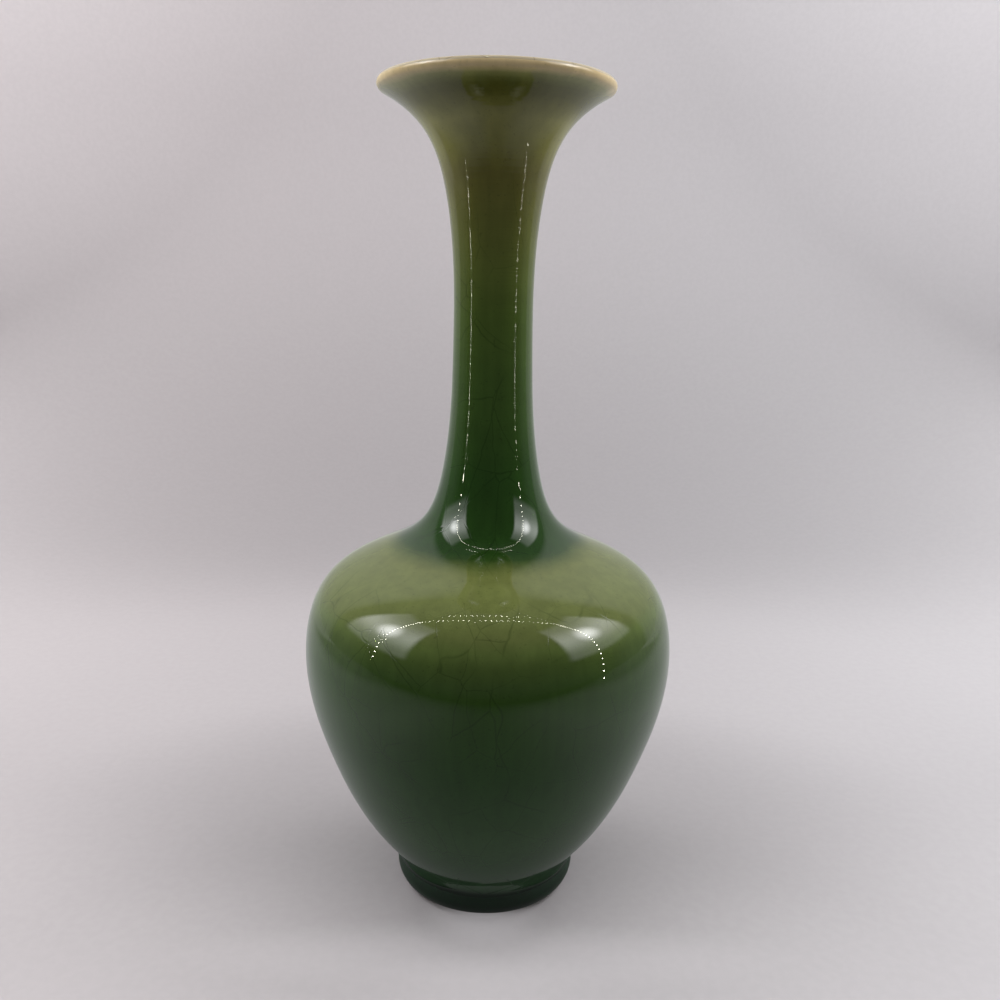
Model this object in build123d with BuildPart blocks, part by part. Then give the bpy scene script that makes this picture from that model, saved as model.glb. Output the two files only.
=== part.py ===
"""Bottle vase with a long neck and a trumpet mouth, thrown in sections, luted with slip and glazed.

Every piece is a solid of revolution about Z. The origin is the centre of the foot's resting face.
A profile is drawn as radius and height in the XZ plane, and sizes are in millimetres and degrees.
"""
import os
from itertools import accumulate
from math import radians, tan

from build123d import *

# Foot ring: widest radius with its glaze, how far the resting edge tucks in, and the flat it stands on
foot_radius = 25.4
foot_height = 7.2
foot_bulge_height = 4.3
foot_tuck = 4.5
rest_width = 3.5
rest_round = 0.8
bare_height = 1.3

# Visible profile: the radius at each station and its rise above the station below it
crease_depth = 0.6
crease_lean = 22.0
heel_radius = 32.4
heel_rise = 11.8
flank_radius = 44.5
flank_rise = 25.0
belly_radius = 49.8
belly_rise = 27.0
shoulder_radius = 44.0
shoulder_rise = 18.5
root_radius = 18.0
root_rise = 16.5
collar_radius = 12.7
collar_rise = 14.3
waist_radius = 10.25
waist_rise = 31.7
throat_radius = 12.0
throat_rise = 36.0
flare_radius = 17.8
flare_rise = 16.0
mouth_radius = 28.3
mouth_rise = 8.5
mouth_lean = 62.8
lip_radius = 1.3

# Clay, slip and glaze
base_wall = 6.0
belly_wall = 4.2
neck_wall = 3.0
flare_wall = 2.2
floor_wall = 5.0
slip = 0.4
slip_recess = 0.15
seam_slope = 25.0
glaze = 0.5
crease_pool = 2.0

rest_radius = foot_radius - foot_tuck
well_radius = rest_radius - rest_width
crease_radius = foot_radius - crease_depth

# Stations of the visible profile, from the crease above the foot to the start of the lip
CREASE, HEEL, FLANK, BELLY, SHOULDER, ROOT, COLLAR, WAIST, THROAT, FLARE, MOUTH = range(11)
station_radii = [
    crease_radius, heel_radius, flank_radius, belly_radius, shoulder_radius, root_radius,
    collar_radius, waist_radius, throat_radius, flare_radius, mouth_radius,
]
station_rises = [
    foot_height, heel_rise, flank_rise, belly_rise, shoulder_rise, root_rise,
    collar_rise, waist_rise, throat_rise, flare_rise, mouth_rise,
]
lip_clay = 2 * (lip_radius - glaze)
walls = [
    base_wall, base_wall, belly_wall, belly_wall, belly_wall, neck_wall,
    neck_wall, neck_wall, neck_wall, flare_wall, lip_clay,
]
stations = [Vector(r, z) for r, z in zip(station_radii, accumulate(station_rises))]
upward = Vector(0, 1)
outward = Vector(1, 0)
crease_way = upward.rotate(Axis.Z, -crease_lean)
mouth_way = upward.rotate(Axis.Z, -mouth_lean)


def smooth(points, start_way):
    """Curve through the points, with a given direction at its start and the mouth's at its end."""
    return Spline(points, tangents=(start_way, mouth_way), tangent_scalars=(1, 1))


with BuildLine():
    visible = smooth(stations, crease_way)
inward = [visible.tangent_at(point).rotate(Axis.Z, 90) for point in stations]


def sunk(depths):
    """Stations moved in from the visible surface, each by its own depth."""
    return [point + way * depth for point, way, depth in zip(stations, inward, depths)]


clay_outside = sunk([glaze for wall in walls])
clay_inside = sunk([glaze + wall for wall in walls])
bore = sunk([glaze + wall + glaze for wall in walls])
slip_outside = sunk([glaze + slip_recess for wall in walls])
slip_inside = sunk([glaze + wall - slip_recess for wall in walls])
lip_centre = stations[MOUTH] + inward[MOUTH] * lip_radius
seat_height = clay_outside[CREASE].Y
floor_height = seat_height + floor_wall
reach = 2 * belly_radius
above_lip = lip_centre.Y + 2 * lip_radius


def outer_line(points, depth):
    """Foot bulge, body and neck through the points, and the lip as far as its tip."""
    bulge = Vector(foot_radius - depth, foot_bulge_height)
    TangentArc(bulge, Vector(rest_radius, depth - glaze), tangent=-upward)
    TangentArc(bulge, points[CREASE], tangent=upward)
    smooth(points, crease_way)
    TangentArc(points[MOUTH], lip_tip(depth), tangent=mouth_way)


def inner_line(points, height, depth):
    """Dished floor from its height at the axis, wall through the points, and the lip to its tip."""
    smooth([Vector(0, height)] + points[HEEL:], outward)
    TangentArc(points[MOUTH], lip_tip(depth), tangent=mouth_way)


def lip_tip(depth):
    """Outermost point of the round lip, at a depth below the glazed surface."""
    return lip_centre + mouth_way * (lip_radius - depth)


def seam(station, side):
    """Conical face of a seam's slip, as points at the axis and outside; side is -1 below, 1 above."""
    middle = stations[station] + inward[station] * (glaze + walls[station] / 2)
    axis_height = middle.Y + middle.X * tan(radians(seam_slope)) + side * slip / 2
    return Vector(0, axis_height), Vector(reach, axis_height - reach * tan(radians(seam_slope)))


def level(height):
    """Flat cut at a height, as its points at the axis and outside."""
    return Vector(0, height), Vector(reach, height)


def wall_between(lower, upper, outside, inside, depth):
    """Section of the wall between two cuts across it, sunk to a depth below the visible surface."""
    well = well_radius + depth - glaze
    with BuildSketch(Plane.XZ) as section:
        with BuildLine():
            outer_line(outside, depth)
            inner_line(inside, floor_height, depth)
            Polyline(
                (0, floor_height),
                (0, seat_height),
                (well, seat_height),
                (well, depth - glaze),
                (rest_radius, depth - glaze),
            )
        make_face()
        with BuildLine():
            Polyline(lower[0], lower[1], upper[1], upper[0], close=True)
        make_face(mode=Mode.INTERSECT)
    return section.sketch


def clay_between(lower, upper):
    """Section of the clay between two cuts."""
    return wall_between(lower, upper, clay_outside, clay_inside, glaze)


def slip_between(lower, upper):
    """Section of the slip between two cuts, sponged back a little from the clay's surface."""
    return wall_between(lower, upper, slip_outside, slip_inside, glaze + slip_recess)


# Foot ring, standing on its bare flat face
with BuildPart() as foot_ring:
    revolve(clay_between(level(0), level(seat_height - slip)), axis=Axis.Z)
    fillet(foot_ring.edges().sort_by_distance((well_radius, 0, 0))[0], rest_round)

with BuildPart() as foot_slip:
    revolve(slip_between(level(seat_height - slip), level(seat_height)), axis=Axis.Z)

# Lower body with the dished floor, up to the belly seam
with BuildPart() as lower_body:
    revolve(clay_between(level(seat_height), seam(BELLY, -1)), axis=Axis.Z)

with BuildPart() as belly_slip:
    revolve(slip_between(seam(BELLY, -1), seam(BELLY, 1)), axis=Axis.Z)

# Upper body: the shoulder dome and the short collar that takes the neck
with BuildPart() as upper_body:
    revolve(clay_between(seam(BELLY, 1), seam(COLLAR, -1)), axis=Axis.Z)

with BuildPart() as collar_slip:
    revolve(slip_between(seam(COLLAR, -1), seam(COLLAR, 1)), axis=Axis.Z)

with BuildPart() as neck:
    revolve(clay_between(seam(COLLAR, 1), seam(THROAT, -1)), axis=Axis.Z)

with BuildPart() as throat_slip:
    revolve(slip_between(seam(THROAT, -1), seam(THROAT, 1)), axis=Axis.Z)

# Trumpet mouth with its round lip
with BuildPart() as trumpet_mouth:
    revolve(clay_between(seam(THROAT, 1), level(above_lip)), axis=Axis.Z)

# Outer glaze: from the bare edge of the foot, pooled in the crease, to the tip of the lip
with BuildPart() as outer_glaze:
    with BuildSketch(Plane.XZ):
        with BuildLine():
            outer_line(stations, 0)
            Line(lip_tip(0), lip_tip(glaze))
            outer_line(clay_outside, glaze)
            Line((rest_radius, -glaze), (rest_radius, 0))
        make_face()
        with BuildLine():
            Polyline(*level(bare_height), *reversed(level(above_lip)), close=True)
        make_face(mode=Mode.INTERSECT)
    revolve(axis=Axis.Z)
    fillet(outer_glaze.edges().sort_by_distance((crease_radius, 0, foot_height))[0], crease_pool)

# Inner glaze: from the tip of the lip down the bore and over the floor
with BuildPart() as inner_glaze:
    with BuildSketch(Plane.XZ):
        with BuildLine():
            inner_line(clay_inside, floor_height, glaze)
            Line(lip_tip(glaze), lip_tip(0))
            inner_line(bore, floor_height + glaze, 0)
            Line((0, floor_height + glaze), (0, floor_height))
        make_face()
    revolve(axis=Axis.Z)

# Base glaze: a thin cup in the well under the foot
with BuildPart() as base_glaze:
    with BuildSketch(Plane.XZ):
        with BuildLine():
            Polyline(
                (0, seat_height),
                (well_radius, seat_height),
                (well_radius, bare_height),
                (well_radius - glaze, bare_height),
                (well_radius - glaze, seat_height - glaze),
                (0, seat_height - glaze),
                close=True,
            )
        make_face()
    revolve(axis=Axis.Z)

pieces = {
    "foot_ring": foot_ring,
    "foot_slip": foot_slip,
    "lower_body": lower_body,
    "belly_slip": belly_slip,
    "upper_body": upper_body,
    "collar_slip": collar_slip,
    "neck": neck,
    "throat_slip": throat_slip,
    "trumpet_mouth": trumpet_mouth,
    "outer_glaze": outer_glaze,
    "inner_glaze": inner_glaze,
    "base_glaze": base_glaze,
}
os.makedirs("parts", exist_ok=True)
for name, piece in pieces.items():
    piece.part.label = name
    export_step(piece.part, f"parts/{name}.step")
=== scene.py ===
"""Looks of the green bottle vase: glaze coats, clay and studio, in metres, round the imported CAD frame."""
from math import cos, hypot, pi, radians, sin

import bpy
import numpy as np
from mathutils import Matrix, Vector
from mathutils.bvhtree import BVHTree


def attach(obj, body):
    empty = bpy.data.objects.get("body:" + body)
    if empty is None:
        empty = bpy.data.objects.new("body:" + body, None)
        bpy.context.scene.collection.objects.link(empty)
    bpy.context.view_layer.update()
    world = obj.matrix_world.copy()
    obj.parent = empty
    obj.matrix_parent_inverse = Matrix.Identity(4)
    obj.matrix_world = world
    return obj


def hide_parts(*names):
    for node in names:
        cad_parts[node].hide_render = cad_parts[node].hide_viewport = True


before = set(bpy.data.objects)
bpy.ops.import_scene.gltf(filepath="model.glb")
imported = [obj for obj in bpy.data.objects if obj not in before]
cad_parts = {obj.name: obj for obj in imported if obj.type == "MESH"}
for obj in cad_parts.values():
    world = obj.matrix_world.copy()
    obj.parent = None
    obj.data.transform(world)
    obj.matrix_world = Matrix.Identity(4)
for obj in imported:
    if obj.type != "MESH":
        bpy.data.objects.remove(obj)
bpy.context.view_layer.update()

# Camera: its place and turns, its lens and sensor in millimetres, and the nearest distance that it sees
camera_place = Vector((0.0, -0.2379, 0.1699))
camera_pitch = radians(13.89)
camera_roll = radians(1.07)
camera_yaw = radians(0.62)
camera_lens = 32.85
camera_sensor = 36.0
camera_near = 0.01

# Glaze coats: thickness, the share of it that a visible face lies from the clay at least, and mesh density
coat = 0.00046
visible_share = 0.85
clay_nodes = ("foot_ring", "lower_body", "upper_body", "neck", "trumpet_mouth")
slip_nodes = ("foot_slip", "belly_slip", "collar_slip", "throat_slip")
girth_steps = 192
point_digits = 6
point_gap = 0.0003
curve_step = 0.00004
row_length = 0.0012
row_turn = radians(4.0)
back_skip = 4
bead_steps = 6

# Wavy lower edge of the glaze: its height, how far up it is felt, and each wave's share, lobes and shift
edge_wave = 0.0003
edge_reach = 0.003
edge_lobes = (
    (0.6, 3, 1.0),
    (0.3, 7, 0.0),
    (0.1, 19, 0.0),
)

# Unevenness left by a hand: each wave's size, lobes and turn with height; it fades towards the axis
hand_fade = 0.02
hand_waves = (
    (0.000030, 2, 9.0),
    (0.000010, 3, 70.0),
    (0.000006, 5, 160.0),
    (0.000004, 7, 310.0),
)

# Glaze colour by height, from the foot to the lip
green_stops = (
    # Near black at the foot: the glaze's own dark green, painted darker still as shade on the foot
    (0.0076, (0.001, 0.012, 0.003)),
    (0.0097, (0.025, 0.088, 0.024)),
    (0.0300, (0.033, 0.090, 0.022)),
    (0.0550, (0.018, 0.062, 0.008)),
    (0.0740, (0.021, 0.056, 0.006)),
    (0.0790, (0.038, 0.070, 0.017)),
    (0.0834, (0.053, 0.083, 0.019)),
    (0.0863, (0.083, 0.117, 0.030)),
    (0.0890, (0.100, 0.122, 0.036)),
    (0.0970, (0.109, 0.128, 0.038)),
    (0.0990, (0.104, 0.121, 0.034)),
    (0.1015, (0.012, 0.037, 0.006)),
    (0.1080, (0.015, 0.044, 0.007)),
    (0.1200, (0.019, 0.053, 0.009)),
    (0.1450, (0.041, 0.078, 0.015)),
    (0.1600, (0.058, 0.092, 0.017)),
    (0.1700, (0.084, 0.109, 0.023)),
    (0.1930, (0.127, 0.119, 0.031)),
    (0.1995, (0.186, 0.180, 0.041)),
    (0.2045, (0.228, 0.218, 0.064)),
    (0.2088, (0.098, 0.095, 0.017)),
    (0.2105, (0.107, 0.107, 0.023)),
    (0.2117, (0.225, 0.230, 0.080)),
    (0.2126, (0.660, 0.510, 0.280)),
)

# Noise, at so many waves to the metre: its usual and its least detail, its middle, and the span that is used
plain_detail = 2.0
least_detail = 1.0
noise_middle = 0.5
noise_span = (0.3, 0.7)

# Green glaze: waver of the colour by height, then runs, mottling and specks, which lighten or darken it
waver_scale = 40.0
waver_height = 0.003
runs_stretch = (420.0, 420.0, 14.0)
runs_detail = 3.0
runs_shade = (0.94, 1.06)
mottle_scale = 160.0
mottle_detail = 4.0
mottle_shade = (0.95, 1.05)
speck_scale = 1300.0
speck_span = (0.66, 0.74)
speck_shade = 0.82

# Craze: each net's cells to the metre, line width and upright stretch, how it bends, and where it shows
green_nets = ((85.0, 0.00015, 0.7), (40.0, 0.00020, 0.5))
lining_net = (75.0, 0.00020, 0.8)
craze_scale = 45.0
craze_bend_detail = 3.0
craze_bend = (0.006, 0.006, 0.006)
craze_span = (0.38, 0.50)
craze_shade = (0.38, 0.44, 0.34, 1.0)
craze_strength = 0.45
craze_loss = 0.9
pale_band = (0.094, 0.1005)
pale_edge = 0.003
plain_top = (0.17, 0.20)

# Gloss and relief of the glazes: orange peel, sunk craze lines, and throwing ripples on the neck
glaze_ior = 1.5
gloss_scale = 90.0
green_rough = (0.015, 0.03)
foot_rough = 0.35
foot_rough_top = (0.006, 0.0085)
peel_scale = 220.0
peel_relief = 0.3
craze_relief = 0.3
ripple_stretch = (30.0, 30.0, 1700.0)
ripple_start = (0.115, 0.130)
ripple_relief = 1.4
green_bump = 0.12
relief_depth = 0.0002

# Lining glaze: cloudy cream, buff towards the lip
lining_dark = (0.42, 0.40, 0.27, 1.0)
lining_pale = (0.50, 0.46, 0.33, 1.0)
lining_lip = (0.48, 0.40, 0.27, 1.0)
lining_lip_range = (0.205, 0.2145)
lining_craze = (0.20, 0.16, 0.09, 1.0)
lining_craze_strength = 0.5
cloud_scale = 120.0
cloud_detail = 3.0
lining_rough = (0.03, 0.07)
lining_bump = 0.08

# Bare clay with iron specks, and luting slip
clay_scale = 1800.0
clay_detail = 4.0
clay_dark = (0.16, 0.12, 0.075, 1.0)
clay_pale = (0.38, 0.30, 0.20, 1.0)
iron_scale = 2600.0
iron_span = (0.64, 0.70)
iron_colour = (0.04, 0.025, 0.015, 1.0)
clay_rough = (0.75, 0.92)
clay_bump = 0.5
slip_scale = 900.0
slip_detail = 3.0
slip_dark = (0.30, 0.26, 0.19, 1.0)
slip_pale = (0.42, 0.37, 0.29, 1.0)
slip_rough = (0.65, 0.8)
slip_bump = 0.2
slip_depth = 0.0001

# Floor and sweep: sizes in metres, and the sector in front that only the camera sees
floor_half = 0.30
floor_steps = 33
sweep_start = 0.258
sweep_bend = 0.30
sweep_top = 0.95
sweep_rows = 25
sweep_steps = 65
front_sector = radians(115)

# Paper: its painted shade, for uneven light, near the camera, at the vase, at the wall's foot and high up,
# the last two as pairs for the middle and the sides
paper_near = 0.565
paper_middle = 0.32
paper_far = (0.228, 0.176)
paper_high = (0.66, 1.0)
paper_sides = (0.05, 0.55)
middle_range = (-0.16, 0.06)
far_range = (0.17, 0.31)
wall_foot = (0.05, 0.25)
high_range = (-0.10, 0.42)
paper_left = (0.975, 0.905, 0.925, 1.0)
paper_right = (0.985, 0.950, 0.980, 1.0)
tint_range = (-0.25, 0.25)
tooth_scale = 350.0
tooth_detail = 3.0
tooth_shade = (0.985, 1.015)
paper_rough = 0.85
paper_specular = 0.2

# Painted shadow on the paper round the foot, and painted light in front of it: light, centre, stretch and
# limits
foot_shade = 0.84
foot_shade_centre = (0.0, 0.035, 0.0)
foot_shade_stretch = (1.0, 2.0, 1.0)
foot_shade_range = (0.07, 0.17)
painted_front_glows = (
    (0.20, (0.0, -0.0225, 0.0), (0.75, 1.0, 1.0), (0.001, 0.0145)),
    (0.07, (0.0, -0.0390, 0.0), (0.25, 1.4, 1.0), (0.006, 0.0220)),
)

# Ceiling panel, and the dim room around
ceiling_light = 1.6
ceiling_across = (-0.45, 0.45)
ceiling_deep = (-0.80, 0.55)
ceiling_height = 0.60
room_colour = (0.03, 0.03, 0.033, 1.0)

# Soft light from each side and a little behind: its direction, distance, size and power in watts
side_turn = radians(112)
side_rise = radians(28)
side_reach = 0.42
side_width = 0.26
side_tall = 0.30
side_power = {-1: 1.75, 1: 1.85}

# Surroundings mirrored in the glaze, on a dome: a bright wall behind, paler upwards, and a dark room in front
mirror_centre = Vector((0.0, 0.0, 0.09))
mirror_reach = 1.5
dome_low = -0.2
dome_rows = 17
dome_steps = 33
wall_low = 0.50
wall_high = 0.92
wall_edge = (0.24, 0.42)
wall_rise = (0.15, 0.9)
room_dim = 0.04
room_side = 0.20
room_range = (-0.35, 0.10)

# Lit board at each side of the dome: its edges, a sheen across its middle and a hot spot
board_turn = (radians(51), radians(101))
board_rise = (radians(15), radians(60))
board_edge = 0.05
board_hot_turn = radians(76)
board_hot_rise = radians(38)
sheen_light = (4.5, 1.3)
sheen_reach = radians(20)
spot_light = 12.0
spot_reach = radians(13)

# Mirrored floor: its size, its light near the foot and aside, and how that fades in front and far aside
mirrored_across = (-1.3, 1.3)
mirrored_deep = (-0.6, 1.3)
mirrored_height = -0.0001
near_light = (0.12, 0.21)
near_range = (0.018, 0.05)
aside_light = 0.36
aside_range = (0.01, 0.15)
aside_front = 0.4
aside_front_range = (-0.30, -0.04)
front_light = 0.1
front_range = (-0.44, -0.22)
side_floor = 0.5
side_fade = (0.27, 0.52)
back_floor = (0.15, 0.35)

# Frame of small lamps round the vase, and a second row behind its top
lamp_side = 0.195
lamp_low = 0.055
lamp_low_left = 0.095
lamp_top = 0.50
lamp_corner = 0.085
lamp_gap = 0.0165
lamp_size = 0.0012
lamp_lean = 0.08
lamp_front = -0.102
lamp_light = 110.0
lamp_colour = (1.0, 0.97, 0.80)
second_row = 0.13
second_row_gap = 0.042


# Profile of the vase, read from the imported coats

def search_tree(names):
    """Search tree over the faces of several CAD nodes."""
    corners, faces = [], []
    for name in names:
        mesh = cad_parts[name].data
        first = len(corners)
        corners.extend(vertex.co.copy() for vertex in mesh.vertices)
        faces.extend([first + corner for corner in face.vertices] for face in mesh.polygons)
    return BVHTree.FromPolygons(corners, faces)


def visible_points(name, clay):
    """Radius and height of a CAD coat's vertices on the side that lies away from the clay."""
    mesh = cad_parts[name].data
    picked = set()
    for face in mesh.polygons:
        if clay.find_nearest(face.center)[3] > visible_share * coat:
            picked.update(face.vertices)
    places = [mesh.vertices[index].co for index in picked]
    points = np.array([(hypot(place.x, place.y), place.z) for place in places])
    return np.unique(points.round(point_digits), axis=0)


def in_order(points, start):
    """Points along a profile, each next one the nearest that is left, thinned to the least gap."""
    left = list(range(len(points)))
    walk = [start]
    left.remove(start)
    while left:
        gaps = np.linalg.norm(points[left] - points[walk[-1]], axis=1)
        nearest = int(np.argmin(gaps))
        if gaps[nearest] > point_gap:
            walk.append(left[nearest])
        left.pop(nearest)
    return points[walk]


def spline(points):
    """Length along a natural cubic spline through the points, and the place there, at small steps."""
    gaps = np.linalg.norm(np.diff(points, axis=0), axis=1)
    knots = np.concatenate([[0.0], np.cumsum(gaps)])
    slopes = np.diff(points, axis=0) / gaps[:, None]
    system = np.eye(len(points))
    bends = np.zeros_like(points)
    for i in range(1, len(points) - 1):
        system[i, i - 1 : i + 2] = gaps[i - 1], 2 * (gaps[i - 1] + gaps[i]), gaps[i]
        bends[i] = 6 * (slopes[i] - slopes[i - 1])
    bends = np.linalg.solve(system, bends)
    along = np.linspace(0.0, knots[-1], int(knots[-1] / curve_step) + 1)
    span = np.clip(np.searchsorted(knots, along, side="right") - 1, 0, len(gaps) - 1)
    gap = gaps[span][:, None]
    before = (along - knots[span])[:, None]
    after = gap - before
    low, high = bends[span], bends[span + 1]
    curve = (low * after**3 + high * before**3) / (6 * gap)
    curve += (points[span] / gap - low * gap / 6) * after
    curve += (points[span + 1] / gap - high * gap / 6) * before
    return along, curve


def row_places(along, curve, first, last):
    """Lengths along the curve for a mesh's rows, closer together where the curve turns."""
    way = np.gradient(curve, along, axis=0)
    turn = np.abs(np.diff(np.unwrap(np.arctan2(way[:, 0], way[:, 1]))))
    cost = along / row_length + np.concatenate([[0.0], np.cumsum(turn)]) / row_turn
    low, high = np.interp([first, last], along, cost)
    return np.interp(np.linspace(low, high, int(high - low) + 2), cost, along)


def hand_shift(turn, height):
    """Small radial unevenness of a hand-made wall, at an angle and a height."""
    return sum(size * np.sin(lobes * turn + lobes + rate * height) for size, lobes, rate in hand_waves)


def edge_shift(turn):
    """How far the glaze's lower edge stays above its lowest place, round the foot."""
    return edge_wave * (1 + sum(share * np.sin(lobes * turn + shift) for share, lobes, shift in edge_lobes))


def turned_rows(along, curve, places):
    """Points and normals of the visible surface, in rows round the axis."""
    turn = np.linspace(0.0, 2 * pi, girth_steps, endpoint=False)[None, :]
    fade = np.clip(1 - places / edge_reach, 0, 1)[:, None] ** 2
    lengths = places[:, None] + edge_shift(turn) * fade
    radius = np.interp(lengths, along, curve[:, 0])
    height = np.interp(lengths, along, curve[:, 1])
    radius = radius + hand_shift(turn, height) * np.clip(radius / hand_fade, 0, 1)
    points = np.stack([radius * np.cos(turn), radius * np.sin(turn), height], axis=-1)
    along_way = np.gradient(points, places, axis=0)
    round_way = np.roll(points, -1, axis=1) - np.roll(points, 1, axis=1)
    normals = np.cross(round_way, along_way)
    normals[radius[:, 0] < curve_step] = (0.0, 0.0, 1.0)
    return points, normals / np.linalg.norm(normals, axis=2, keepdims=True)


# Meshes of the vase

def new_piece(name, mesh, material):
    """Object of the vase that rides on its only body."""
    piece = bpy.data.objects.new(name, mesh)
    mesh.materials.append(material)
    bpy.context.scene.collection.objects.link(piece)
    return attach(piece, "root")


def ring_mesh(name, points, normals):
    """Closed mesh of rows round the axis, the last row joined to the first, with a UV map."""
    rows, steps = points.shape[:2]
    on_axis = np.hypot(points[:, 0, 0], points[:, 0, 1]) < curve_step
    numbers = np.arange(rows * steps).reshape(rows, steps)
    numbers[on_axis] = numbers[on_axis, :1]
    kept, numbers = np.unique(numbers, return_inverse=True)
    numbers = numbers.reshape(rows, steps).tolist()
    faces, places = [], []
    for low in range(rows):
        high = (low + 1) % rows
        if on_axis[low] and on_axis[high]:
            continue
        for left in range(steps):
            right = (left + 1) % steps
            corners = {
                numbers[low][left]: (left / steps, low / rows),
                numbers[low][right]: ((left + 1) / steps, low / rows),
                numbers[high][right]: ((left + 1) / steps, (low + 1) / rows),
                numbers[high][left]: (left / steps, (low + 1) / rows),
            }
            faces.append(tuple(corners))
            places.extend(corners.values())
    mesh = bpy.data.meshes.new(name)
    mesh.from_pydata(points.reshape(-1, 3)[kept].tolist(), [], faces)
    uv_map = mesh.uv_layers.new(name="OFBake")
    uv_map.data.foreach_set("uv", np.array(places, np.float32).ravel())
    mesh.shade_smooth()
    mesh.normals_split_custom_set_from_vertices(normals.reshape(-1, 3)[kept].tolist())
    return mesh


def hidden_rows(points, normals):
    """Rows of a coat's hidden side, thinned, from the last visible row back to the first."""
    picked = list(range(len(points) - 1, 0, -back_skip)) + [0]
    return points[picked] - coat * normals[picked], -normals[picked]


def bead_rows(points, normals):
    """Rows of the round bead at the coat's lower edge, from its hidden side to its visible side."""
    down = points[0] - points[1]
    down = down / np.linalg.norm(down, axis=1, keepdims=True)
    centre = points[0] - normals[0] * coat / 2
    ways = []
    for step in range(1, bead_steps):
        angle = pi * step / bead_steps
        ways.append(down * sin(angle) - normals[0] * cos(angle))
    ways = np.array(ways)
    return centre[None] + ways * coat / 2, ways


def outer_coat(points, normals, material):
    """Green coat from the foot to the tip of the lip, with its rolled lower edge."""
    back, back_normals = hidden_rows(points, normals)
    bead, bead_normals = bead_rows(points, normals)
    rows = np.concatenate([points, back, bead])
    mesh = ring_mesh("glaze_coat", rows, np.concatenate([normals, back_normals, bead_normals]))
    piece = new_piece("glaze_coat", mesh, material)
    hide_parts("outer_glaze")


def lining_coat(points, normals, material):
    """Pale coat from the tip of the lip, down the bore and over the floor."""
    back, back_normals = hidden_rows(points, normals)
    rows = np.concatenate([points, back])
    mesh = ring_mesh("lining_coat", rows, np.concatenate([normals, back_normals]))
    piece = new_piece("lining_coat", mesh, material)
    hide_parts("inner_glaze")


# Materials

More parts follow.
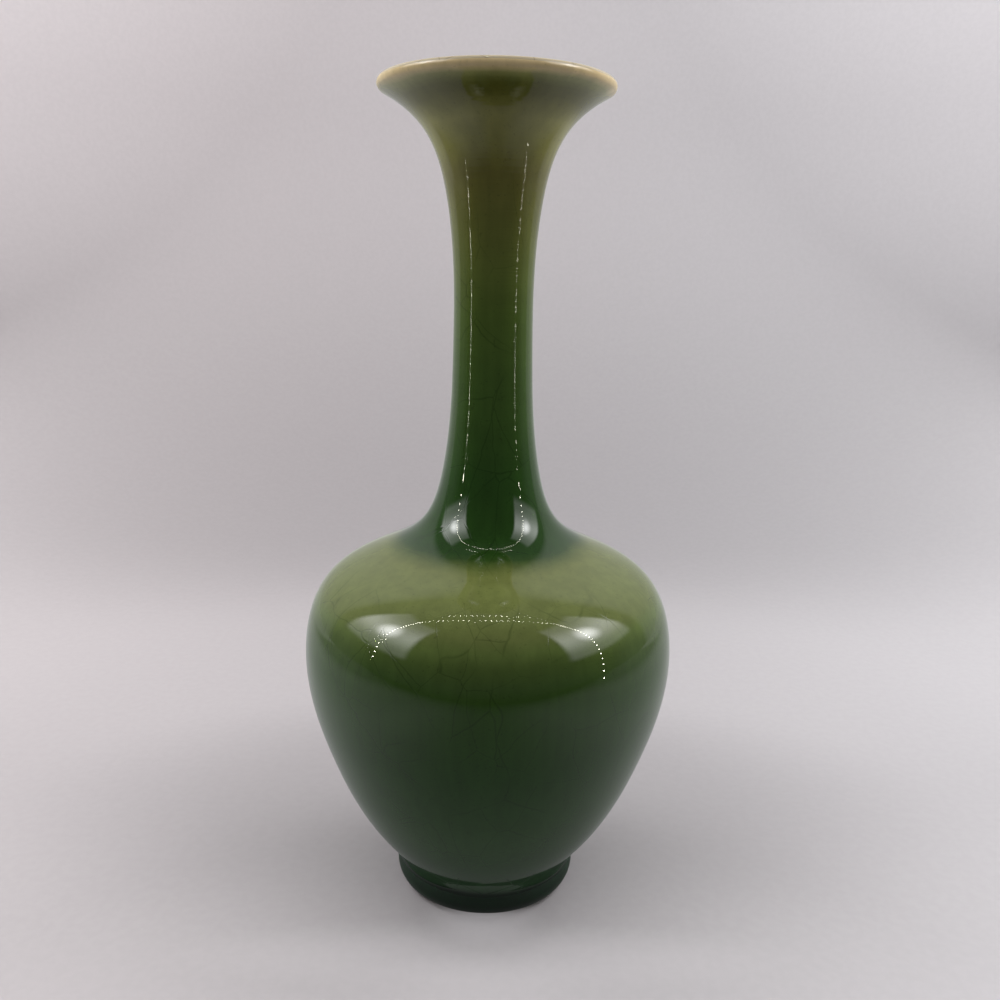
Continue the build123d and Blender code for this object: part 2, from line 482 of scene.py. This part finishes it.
class Shader:
    """A new material, whose nodes are added one by one."""

    def __init__(self, name):
        self.material = bpy.data.materials.new(name)
        self.material.use_nodes = True
        self.tree = self.material.node_tree
        self.surface = self.tree.nodes["Principled BSDF"]
        self.place = self.add("ShaderNodeTexCoord").outputs["Object"]
        self.across, self.depth, self.height = self.parts(self.place)

    def add(self, kind, inputs=None, **settings):
        """New node with settings and inputs, each a number, a colour or another node's output."""
        node = self.tree.nodes.new(kind)
        for name, value in settings.items():
            setattr(node, name, value)
        self.put(node, inputs or {})
        return node

    def put(self, node, inputs):
        """Sets or links a node's inputs."""
        for name, value in inputs.items():
            if isinstance(value, bpy.types.NodeSocket):
                self.tree.links.new(value, node.inputs[name])
            else:
                node.inputs[name].default_value = value

    def parts(self, place):
        """The three numbers of a vector."""
        return self.add("ShaderNodeSeparateXYZ", {0: place}).outputs

    def math(self, operation, first, second=0.0):
        """One operation on numbers."""
        return self.add("ShaderNodeMath", {0: first, 1: second}, operation=operation).outputs[0]

    def vector(self, operation, first, second):
        """One operation on vectors."""
        return self.add("ShaderNodeVectorMath", {0: first, 1: second}, operation=operation).outputs[0]

    def reach(self, centre=(0.0, 0.0, 0.0), stretch=(1.0, 1.0, 1.0)):
        """Distance from a place, with each direction stretched by its own number."""
        away = self.vector("MULTIPLY", self.vector("SUBTRACT", self.place, centre), stretch)
        return self.add("ShaderNodeVectorMath", {0: away}, operation="LENGTH").outputs["Value"]

    def noise(self, scale, detail=plain_detail, output="Fac"):
        """Smooth noise at so many waves to the metre."""
        inputs = {"Vector": self.place, "Scale": scale, "Detail": detail}
        return self.add("ShaderNodeTexNoise", inputs).outputs[output]

    def drawn_noise(self, stretch, detail):
        """Smooth noise with its own waves to the metre along each direction."""
        inputs = {"Vector": self.vector("MULTIPLY", self.place, stretch), "Scale": 1.0, "Detail": detail}
        return self.add("ShaderNodeTexNoise", inputs).outputs["Fac"]

    def ease(self, value, low, high, at_low=0.0, at_high=1.0):
        """Soft step from one number to another as a value rises."""
        inputs = {"Value": value, "From Min": low, "From Max": high, "To Min": at_low, "To Max": at_high}
        return self.add("ShaderNodeMapRange", inputs, interpolation_type="SMOOTHSTEP").outputs["Result"]

    def inside(self, value, limits, edge):
        """Is 1 where a value lies between two limits, with soft edges."""
        above = self.ease(value, limits[0] - edge, limits[0] + edge)
        below = self.ease(value, limits[1] - edge, limits[1] + edge, 1.0, 0.0)
        return self.math("MULTIPLY", above, below)

    def mix(self, share, first, second, blend="MIX"):
        """Two colours mixed."""
        node = self.add("ShaderNodeMix", data_type="RGBA", blend_type=blend)
        self.put(node, {0: share, 6: first, 7: second})
        return node.outputs[2]

    def ramp(self, value, stops):
        """Colour by a value in metres, through stops that rise with it."""
        top = stops[-1][0]
        share = self.math("DIVIDE", value, top)
        node = self.add("ShaderNodeValToRGB", {"Fac": share})
        elements = node.color_ramp.elements
        while len(elements) < len(stops):
            elements.new(1.0)
        for element, (level, colour) in zip(elements, stops):
            element.position = level / top
            element.color = (*colour, 1.0)
        return node.outputs["Color"]

    def bump(self, relief, strength, depth=relief_depth):
        """Normals that follow a relief."""
        inputs = {"Strength": strength, "Distance": depth, "Height": relief}
        return self.add("ShaderNodeBump", inputs).outputs["Normal"]

    def crackle(self, scale, width, stretch):
        """Thin lines of a craze in the glaze, strong in some places and lost in others."""
        middle = (noise_middle, noise_middle, noise_middle)
        bend = self.vector("SUBTRACT", self.noise(craze_scale, craze_bend_detail, "Color"), middle)
        drawn = self.vector("MULTIPLY", self.place, (1.0, 1.0, stretch))
        drawn = self.vector("ADD", drawn, self.vector("MULTIPLY", bend, craze_bend))
        inputs = {"Vector": drawn, "Scale": scale}
        cells = self.add("ShaderNodeTexVoronoi", inputs, feature="DISTANCE_TO_EDGE")
        line = self.ease(cells.outputs["Distance"], 0.0, width * scale, 1.0, 0.0)
        shown = self.ease(self.noise(craze_scale), *craze_span)
        return self.math("MULTIPLY", line, shown)


def green_colour(shader):
    """Green by height, a little wavering, with runs, mottling and specks."""
    waver = shader.math("SUBTRACT", shader.noise(waver_scale), noise_middle)
    level = shader.math("ADD", shader.height, shader.math("MULTIPLY", waver, waver_height))
    colour = shader.ramp(level, green_stops)
    runs = shader.ease(shader.drawn_noise(runs_stretch, runs_detail), *noise_span, *runs_shade)
    mottle = shader.ease(shader.noise(mottle_scale, mottle_detail), *noise_span, *mottle_shade)
    specks = shader.ease(shader.noise(speck_scale, least_detail), *speck_span, 1.0, speck_shade)
    for shade in (runs, mottle, specks):
        colour = shader.mix(1.0, colour, shade, "MULTIPLY")
    return colour


def green_craze(shader):
    """Craze of two nets, nearly lost in the pale band and towards the lip."""
    nets = [shader.crackle(*net) for net in green_nets]
    pale = shader.inside(shader.height, pale_band, pale_edge)
    plain = shader.math("MAXIMUM", pale, shader.ease(shader.height, *plain_top))
    kept = shader.math("SUBTRACT", 1.0, shader.math("MULTIPLY", plain, craze_loss))
    return shader.math("MULTIPLY", shader.math("MAXIMUM", *nets), kept)


def green_relief(shader, craze):
    """Orange peel, sunk craze lines, and throwing ripples on the neck."""
    peel = shader.math("MULTIPLY", shader.noise(peel_scale), peel_relief)
    relief = shader.math("SUBTRACT", peel, shader.math("MULTIPLY", craze, craze_relief))
    strength = shader.ease(shader.height, *ripple_start, 0.0, ripple_relief)
    ripple = shader.math("MULTIPLY", shader.drawn_noise(ripple_stretch, least_detail), strength)
    return shader.math("ADD", relief, ripple)


def green_glaze():
    """Glossy green glaze with a fine dark craze, duller on the foot."""
    shader = Shader("green_glaze")
    colour = green_colour(shader)
    craze = green_craze(shader)
    dark = shader.mix(1.0, colour, craze_shade, "MULTIPLY")
    rough = shader.ease(shader.noise(gloss_scale), *noise_span, *green_rough)
    duller = shader.ease(shader.height, *foot_rough_top, foot_rough, 0.0)
    shader.put(shader.surface, {
        "Base Color": shader.mix(shader.math("MULTIPLY", craze, craze_strength), colour, dark),
        "Roughness": shader.math("ADD", rough, duller),
        "Normal": shader.bump(green_relief(shader, craze), green_bump),
        "IOR": glaze_ior,
    })
    return shader.material


def lining_glaze():
    """Pale celadon glaze of the bore and the base, crazed like the outside."""
    shader = Shader("lining_glaze")
    cloud = shader.ease(shader.noise(cloud_scale, cloud_detail), *noise_span)
    colour = shader.mix(cloud, lining_dark, lining_pale)
    colour = shader.mix(shader.ease(shader.height, *lining_lip_range), colour, lining_lip)
    craze = shader.math("MULTIPLY", shader.crackle(*lining_net), lining_craze_strength)
    shader.put(shader.surface, {
        "Base Color": shader.mix(craze, colour, lining_craze),
        "Roughness": shader.ease(shader.noise(gloss_scale), *noise_span, *lining_rough),
        "Normal": shader.bump(shader.noise(peel_scale), lining_bump),
        "IOR": glaze_ior,
    })
    return shader.material


def bare_clay():
    """Fired clay: buff brown, gritty, with dark iron specks."""
    shader = Shader("bare_clay")
    grain = shader.noise(clay_scale, clay_detail)
    specks = shader.ease(shader.noise(iron_scale, least_detail), *iron_span)
    shader.put(shader.surface, {
        "Base Color": shader.mix(specks, shader.mix(grain, clay_dark, clay_pale), iron_colour),
        "Roughness": shader.ease(grain, *noise_span, *clay_rough),
        "Normal": shader.bump(grain, clay_bump),
    })
    return shader.material


def luting_slip():
    """Fine pale slip in the seams, smoother than the clay."""
    shader = Shader("luting_slip")
    grain = shader.noise(slip_scale, slip_detail)
    shader.put(shader.surface, {
        "Base Color": shader.mix(grain, slip_dark, slip_pale),
        "Roughness": shader.ease(grain, *noise_span, *slip_rough),
        "Normal": shader.bump(grain, slip_bump, slip_depth),
    })
    return shader.material


def painted_paper_shade(shader):
    """Painted shade of the paper by place, for uneven light: paler near the camera and high up, dimmer round
    the foot.
    """
    aside = shader.math("ABSOLUTE", shader.across)
    far = shader.ease(aside, *paper_sides, *paper_far)
    high = shader.ease(aside, *paper_sides, *paper_high)
    wall = shader.ease(shader.height, *high_range, far, high)
    ground = shader.ease(shader.depth, *middle_range, paper_near, paper_middle)
    behind = shader.ease(shader.depth, *far_range)
    away = shader.math("MAXIMUM", behind, shader.ease(shader.height, *wall_foot))
    # Painted shadow: the paper's colour is darker round the foot
    reach = shader.reach(foot_shade_centre, foot_shade_stretch)
    dimmer = shader.ease(reach, *foot_shade_range, foot_shade, 1.0)
    return shader.mix(1.0, shader.mix(away, ground, wall), dimmer, "MULTIPLY")


def paper():
    """Matt pale paper of the floor and the sweep, with painted shade, and a little painted light of its own
    in front of the foot.
    """
    shader = Shader("paper")
    tint = shader.mix(shader.ease(shader.across, *tint_range), paper_left, paper_right)
    tooth = shader.ease(shader.noise(tooth_scale, tooth_detail), *noise_span, *tooth_shade)
    grain = shader.mix(1.0, tint, tooth, "MULTIPLY")
    # Painted light: the paper glows in front of the foot, lifting the shadow there
    glow = 0.0
    for light, centre, stretch, limits in painted_front_glows:
        glow = shader.math("ADD", glow, shader.ease(shader.reach(centre, stretch), *limits, light, 0.0))
    shader.put(shader.surface, {
        "Base Color": shader.mix(1.0, grain, painted_paper_shade(shader), "MULTIPLY"),
        "Roughness": paper_rough,
        "Specular IOR Level": paper_specular,
        "Emission Color": paper_right,
        "Emission Strength": glow,
    })
    return shader.material


def lit(shader, strength, colour=(1.0, 1.0, 1.0), sampling="NONE"):
    """Material of a surface that only gives light; one that is only mirrored needs no sampling."""
    lamp = shader.add("ShaderNodeEmission", {"Color": (*colour, 1.0), "Strength": strength})
    output = shader.tree.nodes["Material Output"]
    shader.tree.links.new(lamp.outputs[0], output.inputs["Surface"])
    shader.material.cycles.emission_sampling = sampling
    return shader.material


def board_light(shader, across, depth, height):
    """Light of the boards at the sides of the dome, by direction."""
    ahead = shader.math("MULTIPLY", depth, -1.0)
    turn = shader.math("ABSOLUTE", shader.math("ARCTAN2", across, ahead))
    rise = shader.math("ARCSINE", height)
    on_turn = shader.inside(turn, board_turn, board_edge)
    on_rise = shader.inside(rise, board_rise, board_edge)
    off_turn = shader.math("SUBTRACT", turn, board_hot_turn)
    off_rise = shader.math("ABSOLUTE", shader.math("SUBTRACT", rise, board_hot_rise))
    squares = shader.math("ADD", shader.math("POWER", off_turn, 2.0), shader.math("POWER", off_rise, 2.0))
    sheen = shader.ease(off_rise, 0.0, sheen_reach, *sheen_light)
    spot = shader.ease(shader.math("SQRT", squares), 0.0, spot_reach, spot_light, 0.0)
    return shader.math("MULTIPLY", shader.math("MULTIPLY", on_turn, on_rise), shader.math("ADD", sheen, spot))


def surroundings():
    """Light that comes from each direction, as the glaze mirrors it."""
    shader = Shader("surroundings")
    way = shader.add("ShaderNodeVectorMath", {0: shader.place}, operation="NORMALIZE").outputs[0]
    across, depth, height = shader.parts(way)
    behind = shader.ease(depth, *wall_edge)
    wall = shader.ease(height, *wall_rise, wall_low, wall_high)
    room = shader.ease(depth, *room_range, room_dim, room_side)
    light = shader.math("MAXIMUM", shader.math("MULTIPLY", behind, wall), room)
    return lit(shader, shader.math("ADD", light, board_light(shader, across, depth, height)))


def mirrored_floor():
    """Floor as the glaze mirrors it: dim at the foot and in front, paler to the sides, lost far off."""
    shader = Shader("mirrored_floor")
    aside = shader.math("ABSOLUTE", shader.across)
    near = shader.ease(shader.reach(), *near_range, *near_light)
    paler = shader.ease(aside, *aside_range, 0.0, aside_light)
    paler = shader.math("MULTIPLY", paler, shader.ease(shader.depth, *aside_front_range, aside_front, 1.0))
    far_aside = shader.ease(aside, *side_fade, 1.0, side_floor)
    far_aside = shader.math("MAXIMUM", far_aside, shader.ease(shader.depth, *back_floor))
    fade = shader.math("MULTIPLY", shader.ease(shader.depth, *front_range, front_light, 1.0), far_aside)
    return lit(shader, shader.math("MULTIPLY", shader.math("ADD", near, paler), fade))


# Studio

def stage_object(name, corners, faces, material):
    """Object of the studio, which isn't part of the vase."""
    mesh = bpy.data.meshes.new(name)
    mesh.from_pydata(corners, [], faces)
    mesh.materials.append(material)
    made = bpy.data.objects.new(name, mesh)
    bpy.context.scene.collection.objects.link(made)
    return made


def grid_object(name, points, material):
    """Smooth stage object made of a grid of points."""
    rows, steps = points.shape[:2]
    faces = []
    for low in range(rows - 1):
        for left in range(steps - 1):
            first = low * steps + left
            faces.append((first, first + 1, first + steps + 1, first + steps))
    made = stage_object(name, points.reshape(-1, 3).tolist(), faces, material)
    made.data.shade_smooth()
    return made


def show_to(made, camera=False, diffuse=False, glossy=False, shadow=False):
    """Says which rays meet a stage object."""
    made.visible_camera = camera
    made.visible_diffuse = diffuse
    made.visible_glossy = glossy
    made.visible_shadow = shadow
    made.visible_transmission = False
    made.visible_volume_scatter = False


def flat_grid(x_range, y_range, height, steps=2):
    """Points of a level rectangle."""
    xs, ys = np.meshgrid(np.linspace(*x_range, steps), np.linspace(*y_range, steps))
    return np.stack([xs, ys, np.full_like(xs, height)], axis=-1)


def sweep_grid(first, last):
    """Points of the sweep between two angles from the front, curving up from the floor to a wall."""
    bend = np.linspace(0, pi / 2, sweep_rows)
    reach = np.concatenate([sweep_start + sweep_bend * np.sin(bend), [sweep_start + sweep_bend]])
    height = np.concatenate([sweep_bend * (1 - np.cos(bend)), [sweep_top]])
    turn = np.linspace(first, last, sweep_steps)
    x = reach[:, None] * np.sin(turn)[None, :]
    y = -reach[:, None] * np.cos(turn)[None, :]
    return np.stack([x, y, np.repeat(height[:, None], len(turn), axis=1)], axis=-1)


def dome_grid():
    """Points of the dome round the vase, from a little below the level to the top."""
    turn, rise = np.meshgrid(np.linspace(-pi, pi, dome_steps), np.linspace(dome_low, pi / 2, dome_rows))
    way = np.stack([np.sin(turn) * np.cos(rise), -np.cos(turn) * np.cos(rise), np.sin(rise)], axis=-1)
    return mirror_reach * way


def lamp_places():
    """Places of the small lamps: up one side of the frame, across the top and down the other."""
    rise = lamp_top - lamp_corner - lamp_low
    run = 2 * (lamp_side - lamp_corner)
    bend = lamp_corner * pi / 2
    total = 2 * rise + 2 * bend + run
    places = []
    for along in np.arange(0.0, total, lamp_gap):
        left = along < total / 2
        along = min(along, total - along)
        if along < rise:
            x, z = lamp_side, lamp_low + along
        elif along < rise + bend:
            angle = (along - rise) / lamp_corner
            x = lamp_side - lamp_corner * (1 - cos(angle))
            z = lamp_top - lamp_corner * (1 - sin(angle))
        else:
            x, z = lamp_side - lamp_corner - (along - rise - bend), lamp_top
        if not left or z > lamp_low_left:
            places.append((-x if left else x, lamp_front + lamp_lean * z, z))
    for x in np.arange(-second_row, second_row, lamp_gap):
        places.append((x, lamp_front + lamp_lean * lamp_top + second_row_gap, lamp_top))
    return places


def lamp_frame(material):
    """Small square lamps on a frame round the vase, turned towards it and seen only as glints."""
    corners, faces = [], []
    for place in lamp_places():
        way = (mirror_centre - Vector(place)).normalized()
        side = way.orthogonal().normalized() * lamp_size
        up = way.cross(side)
        first = len(corners)
        corners.extend(Vector(place) + shift for shift in (-side - up, side - up, side + up, up - side))
        faces.append(tuple(range(first, first + 4)))
    return stage_object("lamp_frame", corners, faces, material)


def side_light(name, side):
    """Soft light at one side, -1 left and 1 right, which the glaze doesn't mirror."""
    data = bpy.data.lights.new(name, "AREA")
    data.shape = "RECTANGLE"
    data.size = side_width
    data.size_y = side_tall
    data.energy = side_power[side]
    made = bpy.data.objects.new(name, data)
    bpy.context.scene.collection.objects.link(made)
    level = Vector((side * sin(side_turn), -cos(side_turn), 0.0))
    way = level * cos(side_rise) + Vector((0.0, 0.0, sin(side_rise)))
    made.location = mirror_centre + way * side_reach
    made.rotation_euler = way.to_track_quat("Z", "Y").to_euler()
    made.visible_camera = False
    made.visible_glossy = False


def backdrop():
    """Paper floor and sweep. Of these, light bounces only off the sweep's back."""
    pale = paper()
    half = (-floor_half, floor_half)
    floor = grid_object("floor", flat_grid(half, half, 0.0, floor_steps), pale)
    show_to(floor, camera=True, shadow=True)
    back = grid_object("sweep_back", sweep_grid(front_sector, 2 * pi - front_sector), pale)
    show_to(back, camera=True, diffuse=True, shadow=True)
    front = grid_object("sweep_front", sweep_grid(-front_sector, front_sector), pale)
    show_to(front, camera=True)


def soft_lights():
    """Ceiling panel, side lights and a dim room."""
    panel = lit(Shader("ceiling"), ceiling_light, sampling="AUTO")
    ceiling = grid_object("ceiling", flat_grid(ceiling_across, ceiling_deep, ceiling_height), panel)
    show_to(ceiling, diffuse=True)
    side_light("side_light_left", -1)
    side_light("side_light_right", 1)
    world = bpy.data.worlds.new("room")
    world.use_nodes = True
    world.node_tree.nodes["Background"].inputs["Color"].default_value = room_colour
    bpy.context.scene.world = world


def mirrored_room():
    """What the glaze mirrors: dome, floor and lamps. The floor also lights the vase from below."""
    dome = grid_object("surroundings", dome_grid(), surroundings())
    dome.location = mirror_centre
    show_to(dome, glossy=True)
    ground = flat_grid(mirrored_across, mirrored_deep, mirrored_height)
    mirrored = grid_object("mirrored_floor", ground, mirrored_floor())
    show_to(mirrored, diffuse=True, glossy=True)
    lamps = lamp_frame(lit(Shader("lamps"), lamp_light, lamp_colour))
    show_to(lamps, glossy=True)


def camera():
    """Camera in front of the vase, looking a little down."""
    ahead = Vector((sin(camera_yaw), cos(camera_yaw), 0.0))
    right = Vector((cos(camera_yaw), -sin(camera_yaw), 0.0))
    up = Vector((0.0, 0.0, 1.0))
    forward = ahead * cos(camera_pitch) - up * sin(camera_pitch)
    over = ahead * sin(camera_pitch) + up * cos(camera_pitch)
    x_way = right * cos(camera_roll) + over * sin(camera_roll)
    y_way = over * cos(camera_roll) - right * sin(camera_roll)
    data = bpy.data.cameras.new("camera")
    data.lens = camera_lens
    data.sensor_width = camera_sensor
    data.clip_start = camera_near
    made = bpy.data.objects.new("camera", data)
    bpy.context.scene.collection.objects.link(made)
    turned = Matrix((x_way, y_way, -forward)).transposed()
    made.matrix_world = Matrix.Translation(camera_place) @ turned.to_4x4()
    bpy.context.scene.camera = made


# Vase

def glaze_coats(lining):
    """Both coats, on one smooth curve from the foot over the lip to the middle of the floor."""
    clay_tree = search_tree(clay_nodes)
    outside = visible_points("outer_glaze", clay_tree)
    inside = visible_points("inner_glaze", clay_tree)
    outside = in_order(outside, int(np.argmin(outside[:, 1])))
    inside = in_order(inside, int(np.argmin(inside[:, 0])))
    profile = np.concatenate([outside, inside[::-1]])
    gaps = np.linalg.norm(np.diff(profile, axis=0), axis=1)
    profile = profile[np.concatenate([[True], gaps > point_gap / 2])]
    along, curve = spline(profile)
    tip = along[np.argmin(np.linalg.norm(curve - outside[-1], axis=1))]
    outer_places = row_places(along, curve, 0.0, tip)
    inner_places = row_places(along, curve, tip, along[-1])
    points, normals = turned_rows(along, curve, np.concatenate([outer_places, inner_places[1:]]))
    split = len(outer_places)
    outer_coat(points[:split], normals[:split], green_glaze())
    lining_coat(points[split - 1 :], normals[split - 1 :], lining)


def finish_nodes(lining):
    """Finishes for the CAD nodes that stay."""
    clay = bare_clay()
    slip = luting_slip()
    finishes = {name: clay for name in clay_nodes}
    finishes.update({name: slip for name in slip_nodes})
    finishes["base_glaze"] = lining
    for name, material in finishes.items():
        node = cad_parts[name]
        node.data.materials.clear()
        node.data.materials.append(material)


lining_finish = lining_glaze()
glaze_coats(lining_finish)
finish_nodes(lining_finish)
backdrop()
soft_lights()
mirrored_room()
camera()
bpy.context.scene.view_settings.view_transform = "Standard"
